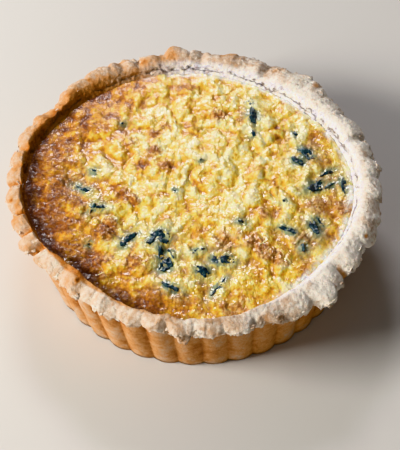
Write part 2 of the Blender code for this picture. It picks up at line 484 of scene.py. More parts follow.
def rise(values, low, high):
    """0 below low, 1 above high and smooth between, for rows of numbers."""
    t = np.clip((values - low) / (high - low), 0.0, 1.0)
    return t * t * (3.0 - 2.0 * t)


# Small scorched places on the rim: bearing in degrees, radius, size and how brown
BROWN_SPOTS = (
    (172.5, 0.1165, 0.0014, 0.70),
    (173.8, 0.1207, 0.0030, 0.32),
    (-173.1, 0.1222, 0.0012, 0.50),
    (-131.8, 0.1101, 0.0014, 0.75),
    (-23.5, 0.1231, 0.0020, 0.70),
    (44.0, 0.1250, 0.0026, 0.45),
    (128.0, 0.1195, 0.0012, 0.45),
    (3.2, 0.1090, 0.0012, 0.55),
    (-12.2, 0.1105, 0.0012, 0.45),
    (96.0, 0.1170, 0.0040, 0.20),
    (107.0, 0.1180, 0.0034, 0.26),
)

# How brown the crust is at each place, with painted shade in it.  The lip is pale; the wall
# took its colour from the hot tin, and its grooves and the side turned from the window are
# painted browner still as shade; the well's inner side is brown behind and painted darker on
# the left as shade, where it faces away from the window, and white and dry on the right, where
# it has cracked; the lip's creases are painted brown as shade; torn notches show the baked crumb.
co = places(case_mesh)
leaned = co[:, :2] - np.outer(co[:, 2] / LEAN_HEIGHT, np.array(LEAN))
spread = np.hypot(leaned[:, 0], leaned[:, 1])
bearing = np.arctan2(leaned[:, 1], leaned[:, 0])
well_edge = INNER_EDGE_RADIUS + np.array([swing(a, WELL_SWING) for a in bearing])
slope = 0.0018 + 0.0080 * rise(np.sin(bearing + 0.1), -0.1, 0.7)
inward = (1.0 - rise((spread - well_edge) / slope, 0.4, 1.3)) * (co[:, 2] > 0.040)
on_wall = (1.0 - rise(co[:, 2], 0.0465, 0.0500)) * (spread > 0.1045)
groove = 1.0 - np.array([bulge(a) for a in bearing])
torn = np.clip(np.array([summed(a, LIP_FOLDS) - 0.004 for a in bearing]) / 0.0014, 0.0, 1.0)
torn *= rise(co[:, 2], 0.044, 0.049) * rise(spread, 0.1160, 0.1185)
# The wall: browned by the tin, with painted shade in the grooves and on the side turned from the
# window
wall_brown_and_shade = 0.50 + 0.06 * np.cos(bearing + 0.5) + 0.20 * groove**2
wall_brown_and_shade -= 0.08 * (1.0 - rise(co[:, 2], 0.004, 0.020))
# The well's inner side: brown behind, and painted darker on the left as shade, where it faces away
# from the window
inner_brown_and_shade = 0.45 - 0.50 * np.cos(bearing - 0.35) - 0.35 * np.maximum(0.0, -np.sin(bearing)) ** 2
lip_brown_and_shade = 0.13 - 0.13 * np.cos(bearing) + 0.16 * np.maximum(0.0, np.sin(bearing + 0.2))
lip_brown_and_shade += 0.09 * np.maximum(0.0, -np.cos(bearing)) ** 2
# A little more brown at the front, painted as warm shade where the lip faces away from the window
lip_brown_and_shade += 0.04 * np.maximum(0.0, np.cos(bearing + 1.7)) ** 2
lip_brown_and_shade -= 0.17 * np.maximum(0.0, np.cos(bearing - 0.2)) ** 2
browned_and_shade = lip_brown_and_shade * (1.0 - on_wall) * (1.0 - inward) + wall_brown_and_shade * on_wall
browned_and_shade += inner_brown_and_shade * inward * (1.0 - on_wall) + 0.55 * torn
cracks = np.array([crack_at(a, off) for a, off in zip(bearing, spread - well_edge)])
# The lip's creases are painted browner as shade, which the window, running along them, doesn't cast
folded_shade = np.clip(np.array([summed(a, LIP_CREASES) for a in bearing]) / 0.0040, 0.0, 1.0)
browned_and_shade += 0.42 * folded_shade**2 * (1.0 - on_wall) * (1.0 - inward)
for turn, out, size, amount in BROWN_SPOTS:
    turn = math.radians(turn)
    away = np.hypot(leaned[:, 0] - out * math.cos(turn), leaned[:, 1] - out * math.sin(turn))
    browned_and_shade += amount * np.exp(-((away / size) ** 2)) * (co[:, 2] > 0.048)
write_measure(case_mesh, "browned_and_shade", np.clip(browned_and_shade, 0.0, 1.0))
dried = (1.0 - rise(spread - well_edge, 0.0030, 0.0075)) * (co[:, 2] > 0.044) * (1.0 - on_wall)
write_measure(case_mesh, "dried", dried * rise(np.cos(bearing - 0.32), -0.08, 0.32))
write_measure(case_mesh, "cracked", cracks * (co[:, 2] > 0.046) * (1.0 - on_wall))

crust_finish, tree, shader = new_finish("baked_shortcrust")
blotch = grain(tree, 60.0, 5.0, 0.62, 0.5)
mottle = grain(tree, 280.0, 6.0, 0.66, 0.3)
meal = grain(tree, 1100.0, 4.0, 0.62)
brown = sums(tree, "ADD", measured(tree, "browned_and_shade"), between(tree, blotch, 0.32, 0.72, -0.11, 0.19))
brown = sums(tree, "ADD", brown, between(tree, mottle, 0.3, 0.7, -0.11, 0.13))
brown = sums(tree, "ADD", brown, between(tree, meal, 0.3, 0.7, -0.05, 0.05))
colour = ramp(
    tree,
    brown,
    (0.00, (0.86, 0.79, 0.68)),
    (0.16, (0.70, 0.56, 0.43)),
    (0.34, (0.57, 0.38, 0.245)),
    (0.55, (0.57, 0.28, 0.105)),
    (0.80, (0.38, 0.13, 0.028)),
    (1.00, (0.15, 0.045, 0.012)),
)
flour = between(tree, grain(tree, 130.0, 6.0, 0.72, 0.8), 0.42, 0.70)
flour = sums(tree, "MULTIPLY", flour, between(tree, brown, 0.06, 0.34, 0.70, 0.0))
colour = blend_colours(tree, flour, colour, (0.91, 0.84, 0.75))
film = sums(tree, "MULTIPLY", measured(tree, "dried"), between(tree, mottle, 0.30, 0.62, 0.45, 1.0))
# The dried film, pale, with lilac in its grey stops as a painted reflection of the bluish sky
film_and_sky_tint = ramp(
    tree,
    grain(tree, 260.0, 5.0, 0.7, 0.6),
    (0.35, (0.38, 0.32, 0.36)),
    (0.45, (0.72, 0.71, 0.80)),
    (0.54, (0.97, 0.96, 0.93)),
    (0.67, (0.92, 0.80, 0.58)),
)
colour = blend_colours(tree, film, colour, film_and_sky_tint)
# The crack is coloured near black: painted shade down the narrow gap, over its shallow groove
painted_crack_shade = sums(tree, "MULTIPLY", measured(tree, "cracked"), between(tree, mottle, 0.25, 0.50))
colour = blend_colours(tree, painted_crack_shade, colour, (0.17, 0.125, 0.10))
tree.links.new(colour, shader.inputs["Base Color"])
shader.inputs["Roughness"].default_value = 0.78
shader.inputs["Subsurface Weight"].default_value = 0.12
shader.inputs["Subsurface Radius"].default_value = (0.0016, 0.0009, 0.0005)
shader.inputs["Subsurface Scale"].default_value = 1.0
normal = bumps(tree, mottle, 0.0012, 0.7)
normal = bumps(tree, meal, 0.0005, 0.6, normal)
tree.links.new(normal, shader.inputs["Normal"])
case_mesh.materials.append(crust_finish)
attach(pastry_case, "root")
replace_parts(pastry_case, "crust")


# ---- Pastry flakes ---------------------------------------------------------------
# Thin leaves of dough that have lifted along the torn edge and the top of the lip as it
# baked; each is rooted in the lip and stands off it at its ragged end.
FLAKE_THICKNESS = 0.00045
SMALL_FLAKES = 250
FLAKES_FROM_RADIUS = 0.112
case_skin = BVHTree.FromObject(pastry_case, bpy.context.evaluated_depsgraph_get())
flakes = bmesh.new()
flake_brown = flakes.verts.layers.float.new("browned_and_shade")
rng = random.Random(23)
# The larger ones: bearing in degrees, height on the lip, and width and length in mm
FLAKES = (
    (-132.6, 0.0535, 9.0, 5.0),
    (-119.6, 0.0505, 7.0, 6.0),
    (-117.2, 0.0500, 5.0, 5.5),
    (-104.0, 0.0500, 5.0, 4.5),
    (-94.3, 0.0510, 8.0, 6.0),
    (-90.0, 0.0500, 4.0, 5.5),
    (-56.0, 0.0510, 7.0, 5.5),
    (-48.0, 0.0515, 8.0, 6.0),
    (-41.0, 0.0520, 5.0, 5.0),
    (-34.5, 0.0520, 6.0, 5.0),
    (43.0, 0.0560, 7.0, 5.5),
    (58.7, 0.0555, 8.0, 5.5),
    (111.1, 0.0555, 7.0, 5.0),
    (140.7, 0.0545, 7.0, 6.0),
    (16.0, 0.0550, 7.0, 5.0),
    (72.0, 0.0550, 7.0, 5.5),
    (50.5, 0.0545, 6.0, 5.5),
    (30.0, 0.0545, 8.0, 5.0),
    (24.0, 0.0550, 6.0, 6.0),
    (7.0, 0.0540, 8.0, 5.0),
    (-6.0, 0.0540, 6.0, 5.0),
    (-27.0, 0.0530, 7.0, 5.5),
    (-62.0, 0.0515, 6.0, 5.5),
    (-70.0, 0.0505, 5.0, 5.0),
    (-79.0, 0.0505, 8.0, 5.0),
)
rows = [(math.radians(turn), height, wide, long, False) for turn, height, wide, long in FLAKES]
for number in range(SMALL_FLAKES):
    on_top = number % 3 == 0
    rows.append(
        (
            rng.uniform(0.0, 2.0 * math.pi),
            rng.uniform(0.1135, 0.1235) if on_top else rng.uniform(0.0495, 0.0550),
            rng.uniform(2.5, 6.0),
            rng.uniform(1.8, 3.6),
            on_top,
        )
    )
# Root each flake where a line towards the lip meets it, and bend its free end outwards
for seed, (turn, place, wide, long, on_top) in enumerate(rows):
    outward = Vector((math.cos(turn), math.sin(turn), 0.0))
    up = Vector((0.0, 0.0, 1.0))
    if on_top:
        found, normal, _, _ = case_skin.ray_cast(outward * place + 0.09 * up, -up)
    else:
        found, normal, _, _ = case_skin.ray_cast(outward * 0.15 + place * up, -outward)
    if not found or found.xy.length < FLAKES_FROM_RADIUS:
        continue
    side = up.cross(outward)
    down = side.cross(normal).normalized()
    down = down if down.dot(outward - up) > 0.0 else -down
    down = (down + side * rng.gauss(0.0, 0.35)).normalized()
    lift = rng.uniform(0.5, 1.3) * (0.5 if on_top else 1.0)
    sheet = bmesh.ops.create_grid(flakes, x_segments=5, y_segments=3, size=1.0)["verts"]
    faces = list({face for vert in sheet for face in vert.link_faces})
    for vert in sheet:
        u, v = vert.co.x, 0.5 * vert.co.y + 0.5
        tooth = noise.noise(Vector((2.6 * u, 2.0 * v, 3.1 * seed)))
        narrow = (1.0 - 0.45 * v * v) * (1.0 + 0.35 * noise.noise(Vector((v * 2.0, u, seed + 9.5))))
        reach = long * (v - 0.45) * (1.0 + 0.55 * tooth - 0.25 * u * u)
        off = -0.75 + lift * (v + 0.3) ** 2 + 0.35 * tooth - 0.05 * wide * u * u
        vert.co = found + (side * 0.5 * wide * u * narrow + down * reach + normal * off) * 0.001
    back = bmesh.ops.extrude_face_region(flakes, geom=faces)["geom"]
    for vert in (item for item in back if isinstance(item, bmesh.types.BMVert)):
        vert.co -= normal * FLAKE_THICKNESS
    brown_here = 0.06 + 0.12 * rng.random() + 0.06 * (math.cos(turn) < 0.0)
    for vert in {v for face in faces for v in face.verts} | set(sheet):
        vert[flake_brown] = brown_here
bmesh.ops.recalc_face_normals(flakes, faces=flakes.faces)
pastry_flakes = set_down("pastry_flakes", flakes)
pastry_flakes.data.materials.append(crust_finish)
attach(pastry_flakes, "root")


# ---- Custard and cheese filling --------------------------------------------------
# The filling is egg custard with grated cheese, poured into the case and baked until
# its top sets in soft curds.  The cheese has run into pale lumps and shreds, and the left side
# has toasted to orange and brown under a film of fat; the lumps are painted paler and the
# hollows a deeper amber, as light and shade.
CLEARANCE = 0.0003
FILLING_HEIGHT = 0.0512
FILLING_WAVE = 0.0008
CURD_GRID = 304
BIG_CURD = 0.0150
CURD = 0.0082
CRUMB = 0.0040
GRIT = 0.0022
BIG_CURD_RISE = 0.0017
CURD_RISE = 0.0011
CRUMB_RISE = 0.0012
GRIT_RISE = 0.0008
PIT_DEPTH = 0.0022
EDGE_SHRINK = 0.0034


def filling_level(x, y):
    """Height of the smooth top before its curds."""
    wave = noise.noise(Vector((x * 55.0, y * 55.0, 3.0)))
    ripple = noise.noise(Vector((x * 130.0, y * 130.0, 7.0)))
    return FILLING_HEIGHT + FILLING_WAVE * (wave + 0.6 * ripple)


def domes(x, y, size, seed, wander):
    """Rounded lumps about this size across: 1 on the top of a lump, 0 in the creases."""
    place = Vector((x / size, y / size, seed))
    push_x = noise.noise(0.7 * place + Vector((0.0, 0.0, 17.0)))
    push_y = noise.noise(0.7 * place + Vector((0.0, 0.0, 29.0)))
    near = noise.voronoi(place + wander * Vector((push_x, push_y, 0.0)))[0][0]
    return max(0.0, 1.0 - 1.5 * near * near)


# Toasted places of the top: x, y and reach in mm, how brown and how crumbly
TOASTED = (
    (-100.0, 4.0, 26.0, 0.18, 0.8),
    (-94.0, -36.0, 20.0, 0.20, 0.8),
    (-98.0, 40.0, 16.0, 0.12, 0.5),
    (-72.0, -62.0, 15.0, 0.22, 0.9),
    (-66.0, 76.0, 20.0, 0.20, 0.0),
    (-46.0, 92.0, 16.0, 0.16, 0.0),
    (-62.0, 48.0, 18.0, 0.08, 0.2),
    (-84.0, 58.0, 16.0, 0.18, 0.2),
    (-84.0, -6.0, 12.0, 0.10, 0.3),
    (-22.0, 58.0, 4.0, 0.32, 0.8),
    (-30.0, 50.0, 5.0, 0.24, 0.9),
    (-29.0, 35.0, 5.0, 0.26, 0.8),
    (-46.0, 46.0, 6.0, 0.10, 0.6),
    (-38.0, 22.0, 5.5, 0.30, 0.3),
    (-20.0, 21.0, 6.0, 0.34, 0.2),
    (-2.0, 55.0, 5.0, 0.26, 0.6),
    (-8.0, 94.0, 8.0, 0.20, 0.2),
    (15.0, 66.0, 6.0, 0.16, 0.9),
    (33.0, 64.0, 4.5, 0.30, 0.5),
    (57.0, 55.0, 3.2, 0.34, 0.2),
    (57.0, 47.0, 3.2, 0.34, 0.2),
    (-54.0, 5.0, 3.6, 0.22, 0.3),
    (-52.0, -3.0, 4.4, 0.28, 0.8),
    (-45.0, -9.0, 5.5, 0.20, 1.0),
    (-60.0, -33.0, 8.0, 0.22, 0.9),
    (-40.0, -60.0, 8.0, 0.12, 0.7),
    (-30.0, -92.0, 10.0, 0.22, 0.9),
    (-50.0, -82.0, 12.0, 0.16, 0.6),
    (0.0, -33.0, 7.5, 0.22, 0.2),
    (-14.0, -42.0, 5.0, 0.20, 0.5),
    (-5.0, -18.0, 6.0, 0.16, 0.2),
    (5.0, 5.0, 4.0, 0.14, 0.2),
    (20.0, -42.0, 9.0, 0.12, 1.0),
    (40.0, -49.0, 9.0, 0.16, 1.0),
    (47.0, -20.0, 6.0, 0.24, 1.0),
    (30.0, -28.0, 4.0, 0.16, 0.5),
    (41.0, 16.0, 4.0, 0.16, 0.3),
    (52.0, 4.0, 4.5, 0.12, 0.4),
    (70.0, -44.0, 9.0, 0.14, 1.0),
    (85.0, -36.0, 7.0, 0.26, 0.8),
    (76.0, 30.0, 8.0, 0.26, 0.8),
    (88.0, 24.0, 6.0, 0.18, 0.3),
    (84.0, 47.0, 8.0, 0.18, 0.2),
    (90.0, 4.0, 8.0, 0.16, 0.9),
    (84.0, -14.0, 9.0, 0.16, 1.0),
    (98.0, -18.0, 7.0, 0.20, 0.8),
    (70.0, -68.0, 7.0, 0.16, 0.6),
    (52.0, -58.0, 8.0, 0.08, 0.8),
    (-6.0, -92.0, 12.0, 0.10, 0.5),
    (22.0, -96.0, 10.0, 0.00, 0.9),
)
BROAD_PLACE = 9.0
BROAD_TOAST = 1.45
SPOT_TOAST = 1.75


def toast_at(x, y):
    """How brown and how crumbly the top is, for rows of places in metres."""
    brown, crumbly = np.zeros(len(x)), np.zeros(len(x))
    for spot_x, spot_y, reach, dark, rough in TOASTED:
        away = np.hypot(1000.0 * x - spot_x, 1000.0 * y - spot_y) / reach
        toast = BROAD_TOAST if reach > BROAD_PLACE else SPOT_TOAST
        brown += toast * dark * np.exp(-(away**2))
        crumbly = np.maximum(crumbly, rough * np.exp(-((0.8 * away) ** 4)))
    return brown, crumbly


# Bend a square grid into a disc that fills the well out to its uneven edge
centre = lean_at(FILLING_HEIGHT)
brim = INNER_EDGE_RADIUS + 0.0006
custard = bmesh.new()
bmesh.ops.create_grid(custard, x_segments=CURD_GRID, y_segments=CURD_GRID, size=1.0)
outs = []
for vert in custard.verts:
    u, v = vert.co.x, vert.co.y
    if abs(u) > abs(v):
        out, turn = abs(u), math.pi / 4.0 * v / u + (0.0 if u > 0.0 else math.pi)
    elif abs(v) > 1e-9:
        out, turn = abs(v), math.pi / 2.0 - math.pi / 4.0 * u / v + (0.0 if v > 0.0 else math.pi)
    else:
        out, turn = 0.0, 0.0
    radius = out * (brim + out**4 * swing(turn, WELL_SWING))
    vert.co = Vector((centre.x + radius * math.cos(turn), centre.y + radius * math.sin(turn), 0.0))
    outs.append(out)
top_xy = np.array([vert.co.xy[:] for vert in custard.verts])
toast_and_shadow, crumbly = toast_at(top_xy[:, 0], top_xy[:, 1])

# Raise the curds and crumbs on it, sink the pits, and let the dry edge shrink down
relief, crumbs = [], []
for vert, out, rough_here in zip(custard.verts, outs, crumbly):
    x, y = vert.co.xy
    big = domes(x, 0.80 * y, BIG_CURD, 1.0, 1.0)
    middle = domes(x, 0.80 * y, CURD, 5.0, 1.0)
    small = domes(x, y, CRUMB, 9.0, 0.8)
    tiny = domes(x, y, GRIT, 14.0, 0.8)
    swell = noise.noise(Vector((x * 38.0, y * 38.0, 4.0)))
    rough = noise.fractal(Vector((x * 150.0, y * 125.0, 31.0)), 0.8, 2.1, 3)
    strength = 0.85 + 0.7 * noise.noise(Vector((x * 28.0, y * 28.0, 12.0)))
    pit = max(0.0, noise.noise(Vector((x * 80.0, y * 65.0, 20.0))) - 0.20)
    loose = rough_here * (0.55 + 0.9 * noise.noise(Vector((x * 95.0, y * 95.0, 41.0))))
    loose = min(1.0, max(0.0, loose))
    curds = BIG_CURD_RISE * (big - 0.5) + CURD_RISE * (middle - 0.5) + 0.00030 * rough
    height = strength * curds
    height += 0.00018 * (small - 0.5) + 0.0009 * swell - PIT_DEPTH * pit
    height += loose * (CRUMB_RISE * small + GRIT_RISE * tiny - 0.0004) + 0.00010 * (tiny - 0.5)
    height *= 1.0 - 0.55 * out**10
    relief.append(height)
    crumbs.append(loose * (0.35 + 0.65 * small))
    turn = math.atan2(y - centre.y, x - centre.x)
    shrunk = max(0.0, out - 0.986) / 0.014 * max(0.0, 0.5 + 0.9 * math.cos(turn - 0.7))
    shrunk *= EDGE_SHRINK * (0.9 + 0.8 * noise.noise(Vector((x * 160.0, y * 160.0, 60.0))))
    vert.co.z = filling_level(x, y) + height - 0.0009 * out**12 - shrunk

# Carry the brim down the inside of the case and close the filling along its floor
under = (
    (INNER_FOOT_RADIUS - CLEARANCE, FLOOR_THICKNESS + CLEARANCE, 0.0),
    (0.0, FLOOR_THICKNESS + CLEARANCE, 0.0),
)
rim = [edge for edge in custard.edges if edge.is_boundary]
for radius, height, well in ((THROAT_RADIUS - 2.0 * CLEARANCE, THROAT_HEIGHT, 0.5), *under):
    made = bmesh.ops.extrude_edge_only(custard, edges=rim)["geom"]
    rim = [item for item in made if isinstance(item, bmesh.types.BMEdge)]
    for vert in {v for edge in rim for v in edge.verts}:
        turn = math.atan2(vert.co.y - centre.y, vert.co.x - centre.x)
        reach = radius + well * swing(turn, WELL_SWING)
        vert.co = Vector((reach * math.cos(turn), reach * math.sin(turn), height))
        vert.co.xy += lean_at(height)
bmesh.ops.remove_doubles(custard, verts=custard.verts, dist=0.00001)
bmesh.ops.recalc_face_normals(custard, faces=custard.faces)
cheese_custard = set_down("cheese_custard", custard)
custard_mesh = cheese_custard.data

# Leaves lie at x, y (mm) with this length, width and bearing; the last word is the node.
# They are given here because they stain the custard about them
LEAVES = (
    (-24.3, -39.2, 13.5, 8.5, -51.0, "spinach_01"),
    (-20.8, -62.0, 11.0, 7.6, 61.0, "spinach_02"),
    (-47.8, -42.4, 10.5, 4.6, 69.0, "spinach_03"),
    (3.3, -68.0, 9.4, 6.6, -41.0, "spinach_04"),
    (15.8, -59.0, 14.5, 7.0, -8.0, "spinach_05"),
    (-76.8, 1.6, 14.0, 2.6, -37.0, "spinach_06"),
    (40.6, 66.0, 15.5, 5.6, -84.0, "spinach_07"),
    (76.0, 30.5, 13.0, 6.6, -50.0, "spinach_08"),
    (69.6, 23.6, 10.3, 4.6, -51.0, "spinach_09"),
    (79.6, 1.4, 13.0, 6.2, 40.0, "spinach_10"),
    (99.8, 1.4, 13.0, 3.8, -85.0, "spinach_11"),
    (60.0, -36.0, 12.0, 3.0, -30.0, "spinach_12"),
    (77.2, -33.9, 13.5, 5.0, -78.0, "spinach_13"),
    (-17.5, -79.8, 13.0, 3.0, -28.0, "spinach_14"),
)
# Smaller scraps of leaf, given in the same way
SCRAPS = (
    (-30.5, -42.7, 7.5, 4.0, 51.0),
    (-24.0, -52.1, 11.0, 3.8, -82.0),
    (-17.5, -53.3, 8.5, 1.8, -65.0),
    (-42.3, -37.3, 9.5, 3.4, 52.0),
    (-0.6, -51.8, 10.0, 2.6, 20.0),
    (12.9, -79.8, 15.6, 1.8, 54.0),
    (-69.6, -15.0, 8.0, 2.6, 64.0),
    (-64.5, -14.5, 7.5, 3.0, 8.0),
    (-69.6, 16.6, 6.0, 3.0, -38.0),
    (38.7, 79.2, 5.0, 1.8, -78.0),
    (40.4, 49.3, 6.0, 3.0, -87.0),
    (89.4, 12.9, 12.0, 2.2, 28.0),
    (87.3, 0.5, 13.3, 1.8, 27.0),
    (29.2, -28.6, 5.6, 1.8, -10.0),
    (70.2, 48.7, 6.5, 3.0, -64.0),
    (81.5, -29.5, 7.5, 1.6, -54.0),
    (68.7, -50.2, 7.3, 2.6, -83.0),
    (-71.3, -44.0, 1.6, 1.3, 0.0),
    (-14.7, -0.7, 1.7, 1.2, 60.0),
    (58.3, -11.8, 2.6, 1.3, -46.0),
    (-52.0, 61.0, 1.8, 1.3, 20.0),
    (3.0, 26.0, 2.0, 1.3, 70.0),
)

# How the top is coloured: toasted outward, most on the left, and darker along the left edge
# as painted shadow of the rim; the lumps painted paler and the hollows a deeper amber as light
# and shade; pinkish brown crumbs; a greenish stain about each leaf; a dry, pale skin along the
# edge on the right
relief = np.array(relief)
grid_side = int(round(len(relief) ** 0.5))


def smoothed(field, reach):
    """Average a square field over a window of this many vertices each way."""
    for _ in range(2):
        wide = np.pad(field, ((reach + 1, reach), (0, 0)), mode="edge").cumsum(0)
        field = ((wide[2 * reach + 1 :] - wide[: -2 * reach - 1]) / (2 * reach + 1)).T
    return field


square = relief.reshape(grid_side, grid_side)
hollow_shade = np.clip((smoothed(square, 9) - square) / 0.0010, -1.0, 1.0).ravel()


def top_measure(name, values, rest=0.0):
    """Store a measure of the top; the sides and the underside all get the rest value."""
    others = len(custard_mesh.vertices) - len(values)
    write_measure(custard_mesh, name, np.append(values, [rest] * others))


co = places(custard_mesh)[: len(relief)] - np.array((centre.x, centre.y, 0.0))
outs = np.array(outs)
turned = np.arctan2(co[:, 1], co[:, 0])
left = 0.5 - 0.5 * np.cos(turned - math.radians(32.0))
toast_and_shadow = 0.16 + toast_and_shadow + 0.24 * rise(outs, 0.40, 1.0) * left
# The band along the left edge is painted darker still, as the rim's shadow on it
toast_and_shadow += 0.36 * rise(outs, 0.88, 1.0) * np.clip(-np.cos(turned + 0.1), 0.0, 1.0) ** 0.5
top_measure("toast_and_shadow", np.clip(toast_and_shadow, 0.0, 1.0))
top_measure("hollow_shade", 0.5 + 0.5 * hollow_shade, 0.5)
top_measure("crumbs", np.array(crumbs))
stain = np.zeros(len(relief))
for x, y, long, wide, lie, *_ in (*LEAVES, *SCRAPS):
    off_x, off_y = 1000.0 * (co[:, 0] + centre.x) - x, 1000.0 * (co[:, 1] + centre.y) - y
    lie = math.radians(lie)
    along = (off_x * math.cos(lie) + off_y * math.sin(lie)) / (0.70 * long + 2.4)
    across = (off_y * math.cos(lie) - off_x * math.sin(lie)) / (0.75 * wide + 3.0)
    stain = np.maximum(stain, np.minimum(1.0, 1.35 * np.exp(-(along**2) - across**2)))
top_measure("greens", stain)
top_measure("dried", rise(outs, 0.935, 0.975) * rise(np.cos(turned - 0.40), -0.05, 0.35))

filling_finish, tree, shader = new_finish("cheese_custard")
patch = grain(tree, 60.0, 3.0, 0.55, 0.6)
fleck = grain(tree, 180.0, 4.0, 0.55, 0.5, (1.0, 0.8, 1.0))
fine = grain(tree, 620.0, 3.0, 0.6)
ripple = grain(tree, 300.0, 2.0, 0.5, 0.4, (1.0, 0.7, 1.0))
amount = sums(tree, "ADD", measured(tree, "toast_and_shadow"), between(tree, patch, 0.34, 0.66, -0.11, 0.10))
amount = sums(tree, "ADD", amount, between(tree, fleck, 0.34, 0.66, -0.15, 0.16))
# Painted light and shade: paler on the lumps, a deeper amber in the hollows
amount = sums(tree, "ADD", amount, between(tree, measured(tree, "hollow_shade"), 0.2, 0.8, -0.15, 0.22))
speck = grain(tree, 360.0, 3.0, 0.6, 0.4)
amount = sums(tree, "ADD", amount, between(tree, speck, 0.34, 0.66, -0.10, 0.12))
colour = ramp(
    tree,
    amount,
    (0.00, (0.89, 0.80, 0.44)),
    (0.16, (0.85, 0.67, 0.15)),
    (0.34, (0.78, 0.48, 0.045)),
    (0.50, (0.66, 0.31, 0.028)),
    (0.70, (0.46, 0.175, 0.026)),
    (1.00, (0.16, 0.046, 0.015)),
)
crust_brown = ramp(
    tree,
    sums(tree, "ADD", speck, between(tree, measured(tree, "toast_and_shadow"), 0.3, 0.9, -0.04, 0.30)),
    (0.36, (0.74, 0.46, 0.19)),
    (0.47, (0.52, 0.24, 0.075)),
    (0.58, (0.34, 0.125, 0.035)),
    (0.78, (0.15, 0.042, 0.014)),
)
loose = between(tree, measured(tree, "crumbs"), 0.08, 0.42, 0.0, 0.92)
colour = blend_colours(tree, loose, colour, crust_brown)
greens = measured(tree, "greens")
stained = sums(tree, "MULTIPLY", greens, between(tree, fleck, 0.36, 0.60, 0.30, 1.0))
colour = blend_colours(tree, stained, colour, (0.36, 0.39, 0.21))
shade = between(tree, sums(tree, "MULTIPLY", stained, greens), 0.35, 0.95, 0.0, 0.50)
colour = blend_colours(tree, shade, colour, (0.13, 0.175, 0.13))
skin = sums(tree, "MULTIPLY", measured(tree, "dried"), between(tree, fleck, 0.34, 0.60, 0.05, 1.0))
pale_skin = ramp(
    tree,
    speck,
    (0.36, (0.62, 0.56, 0.52)),
    (0.46, (0.88, 0.84, 0.74)),
    (0.60, (0.95, 0.94, 0.88)),
)
colour = blend_colours(tree, skin, colour, pale_skin)
tree.links.new(colour, shader.inputs["Base Color"])
shader.inputs["Roughness"].default_value = 0.42
shader.inputs["Subsurface Weight"].default_value = 0.35
shader.inputs["Subsurface Radius"].default_value = (0.0044, 0.0022, 0.0006)
shader.inputs["Subsurface Scale"].default_value = 1.0
oily = between(tree, measured(tree, "toast_and_shadow"), 0.30, 0.62, 1.0, 0.35)
tree.links.new(oily, shader.inputs["Coat Weight"])
shader.inputs["Coat Roughness"].default_value = 0.08
shader.inputs["Coat IOR"].default_value = 1.60
normal = bumps(tree, ripple, 0.0008, 1.0)
tree.links.new(bumps(tree, fine, 0.0007, 1.0, normal), shader.inputs["Normal"])
gloss = bumps(tree, grain(tree, 400.0, 1.0, 0.5, 0.3), 0.0008, 1.0)
tree.links.new(gloss, shader.inputs["Coat Normal"])
custard_mesh.materials.append(filling_finish)
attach(cheese_custard, "root")
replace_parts(cheese_custard, "filling")
filling_top = BVHTree.FromObject(cheese_custard, bpy.context.evaluated_depsgraph_get())


def surface_at(x, y):
    """Height of the baked top under a point."""
    hit = filling_top.ray_cast(Vector((x, y, 0.09)), Vector((0.0, 0.0, -1.0)))[0]
    return hit.z if hit else FILLING_HEIGHT


# ---- Melted cheese shreds --------------------------------------------------------
# Coarsely grated cheese on the top has melted into pale flat strands that lie half
# sunk among the curds, most of them hardly proud of it.
SHREDS = 34
SHREDS_WITHIN = 0.094
SHRED_STEPS = 12
SHRED_SIDES = 8
SHRED_SUNK = 0.0004
shreds = bmesh.new()
rng = random.Random(61)
# Middle x, middle y and length in mm, bearing in degrees, half thickness in mm: the one
# long strand, then the rest
strands = [(-43.0, 31.0, 22.0, 40.0, 0.85)]
for _ in range(SHREDS):
    reach = SHREDS_WITHIN * math.sqrt(rng.random())
    turn = rng.uniform(0.0, 2.0 * math.pi)
    strands.append(
        (
            1000.0 * reach * math.cos(turn),
            1000.0 * reach * math.sin(turn),
            rng.uniform(6.0, 14.0),
            rng.gauss(80.0, 45.0),
            rng.uniform(0.6, 1.0),
        )
    )
for x, y, long, lie, thick in strands:
    heading = Vector((math.cos(math.radians(lie)), math.sin(math.radians(lie)), 0.0))
    beside = Vector((-heading.y, heading.x, 0.0))
    rings = []
    for k in range(SHRED_STEPS + 1):
        t = k / SHRED_STEPS
        spot = Vector((x, y, 0.0)) / 1000.0 + heading * long * 0.001 * (t - 0.5)
        spot += beside * 0.0016 * noise.noise(Vector((x, y, 1.6 * t)))
        spot.z = surface_at(spot.x, spot.y) - SHRED_SUNK
        half = 0.001 * thick * math.sin(math.pi * (0.06 + 0.88 * t)) ** 0.5
        rings.append([])
        for n in range(SHRED_SIDES):
            a = math.tau * n / SHRED_SIDES
            up = Vector((0.0, 0.0, 0.55 * half * math.sin(a)))
            rings[-1].append(shreds.verts.new(spot + beside * half * math.cos(a) + up))
    for first, second in zip(rings, rings[1:]):
        for n in range(SHRED_SIDES):
            shreds.faces.new((first[n], first[n - 1], second[n - 1], second[n]))
    shreds.faces.new(rings[0])
    shreds.faces.new(rings[-1])
bmesh.ops.recalc_face_normals(shreds, faces=shreds.faces)
cheese_shreds = set_down("cheese_shreds", shreds)
shred_finish, tree, shader = new_finish("melted_cheese")
colour = ramp(tree, grain(tree, 150.0), (0.35, (0.88, 0.66, 0.20)), (0.6, (0.92, 0.82, 0.46)))
tree.links.new(colour, shader.inputs["Base Color"])
shader.inputs["Roughness"].default_value = 0.40
shader.inputs["Subsurface Weight"].default_value = 0.20
shader.inputs["Subsurface Radius"].default_value = (0.0030, 0.0016, 0.0006)
shader.inputs["Coat Weight"].default_value = 0.6
shader.inputs["Coat Roughness"].default_value = 0.15
cheese_shreds.data.materials.append(shred_finish)
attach(cheese_shreds, "root")


